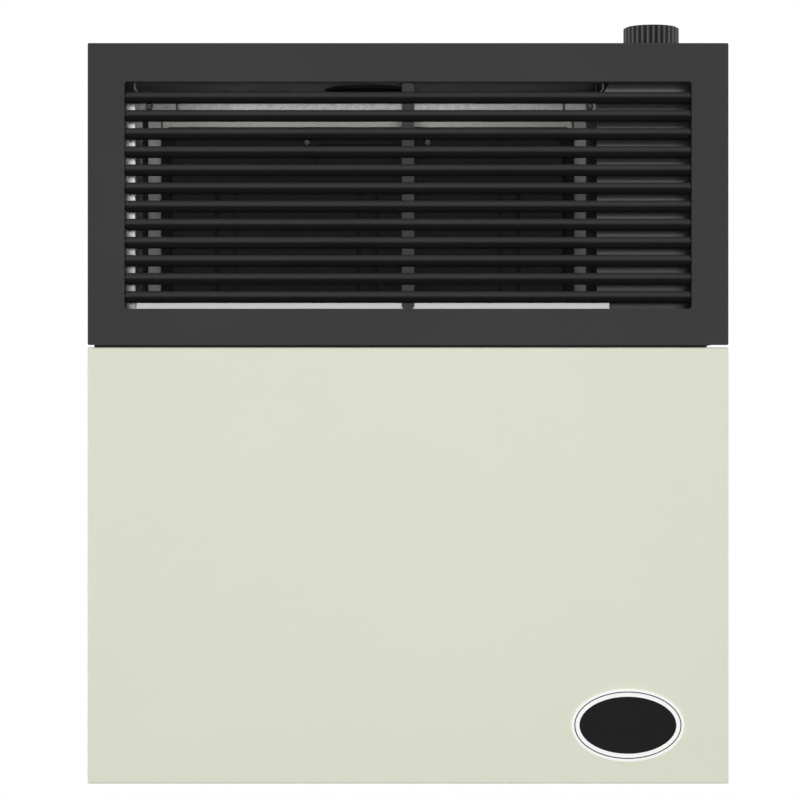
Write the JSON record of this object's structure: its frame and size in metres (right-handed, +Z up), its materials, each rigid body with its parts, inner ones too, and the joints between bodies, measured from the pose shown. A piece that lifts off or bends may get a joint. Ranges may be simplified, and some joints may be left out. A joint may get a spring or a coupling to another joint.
{
  "type": "wall mounted direct-vent gas heater",
  "caption": "Wall-hung gas room heater: square-edged charcoal and cream casing, rod grille over a sealed chamber, top control knob and rear twin flue.",
  "frame": {"origin": "middle of the four wall screw holes, on the wall", "axes": "+Y into the wall, -Y out of the front, +Z up, +X to the right seen from the front"},
  "size_m": [0.5446, 0.2218, 0.6468],
  "materials": {
    "charcoal_coat": "satin powder coat",
    "cream_enamel": "semi-gloss stove enamel",
    "badge_enamel": "white and black enamel, plain",
    "black_paint": "matt high-temperature paint",
    "black_enamel": "matt vitreous enamel",
    "galvanised_steel": "spangled zinc",
    "zinc_steel": "bright zinc plate",
    "burner_steel": "heat-tinted stainless",
    "fibre_gasket": "woven glass fibre",
    "clear_glass": "clear",
    "brass_fitting": "machined",
    "copper": "drawn copper",
    "cast_aluminium": "as cast or drawn",
    "white_ceramic": "glazed ceramic",
    "silicone_sleeve": "matt",
    "black_plastic": "moulded phenolic"
  },
  "bodies": {
    "cabinet": {"upper_casing": "charcoal_coat", "grille_rods": "charcoal_coat", "grille_tie_bar": "charcoal_coat", "top_deflector": "galvanised_steel", "deflector_brackets": "galvanised_steel", "lower_casing": "cream_enamel", "badge_plate": "badge_enamel", "casing_screws": "zinc_steel", "back_panel": "galvanised_steel", "rear_shield": "galvanised_steel", "shield_legs": "galvanised_steel", "left_side_shield": "galvanised_steel", "left_frame_arm": "galvanised_steel", "compartment_wall": "black_paint", "control_cover": "black_paint", "front_heat_shield": "galvanised_steel", "cross_brace": "galvanised_steel", "brace_screws": "black_enamel", "chamber_front": "black_enamel", "chamber_rear": "black_enamel", "chamber_gasket": "fibre_gasket", "seam_rivets": "black_enamel", "chamber_spacers": "zinc_steel", "chamber_bolts": "zinc_steel", "inspection_plate": "black_enamel", "inspection_screws": "black_enamel", "burner_door": "black_enamel", "door_gasket": "fibre_gasket", "door_screws": "zinc_steel", "sight_glass": "clear_glass", "sight_glass_frame": "zinc_steel", "burner_tube": "burner_steel", "burner_brackets": "burner_steel", "injector": "brass_fitting", "pilot_burner": "burner_steel", "thermocouple": "copper", "spark_electrode": "white_ceramic", "main_gas_tube": "cast_aluminium", "pilot_tube": "cast_aluminium", "ignition_lead": "silicone_sleeve", "gas_valve": "cast_aluminium", "valve_bracket": "galvanised_steel", "gas_inlet": "brass_fitting", "control_bracket": "galvanised_steel", "shaft_bushing": "brass_fitting", "knob_spring": "zinc_steel", "piezo_body": "black_plastic", "button_spring": "zinc_steel", "flue_tube": "cast_aluminium", "air_duct": "galvanised_steel", "duct_rear_plate": "galvanised_steel", "air_collar": "cast_aluminium", "thermostat_bulb": "copper", "bulb_clips": "galvanised_steel"},
    "knob_slider": {"spring_washer": "zinc_steel"},
    "knob": {"control_knob": "black_plastic", "control_shaft": "zinc_steel", "shaft_coupling": "zinc_steel", "valve_stem": "zinc_steel"},
    "igniter": {"igniter_button": "black_plastic"}
  },
  "joints": [
    {"name": "knob_push", "type": "slide", "parent": "cabinet", "child": "knob_slider", "axis": [0, 0, -1], "range_m": [0, 0.004], "stiffness_N_per_m": 1200, "springref_m": -0.003, "deforming": ["knob_spring"]},
    {"name": "knob_turn", "type": "hinge", "parent": "knob_slider", "child": "knob", "pos_m": [0.2115, -0.145, 0], "axis": [0, 0, 1], "range_deg": [0, 270]},
    {"name": "igniter_push", "type": "slide", "parent": "cabinet", "child": "igniter", "axis": [0, 0, -1], "range_m": [0, 0.006], "stiffness_N_per_m": 800, "springref_m": -0.004, "deforming": ["button_spring"]}
  ]
}
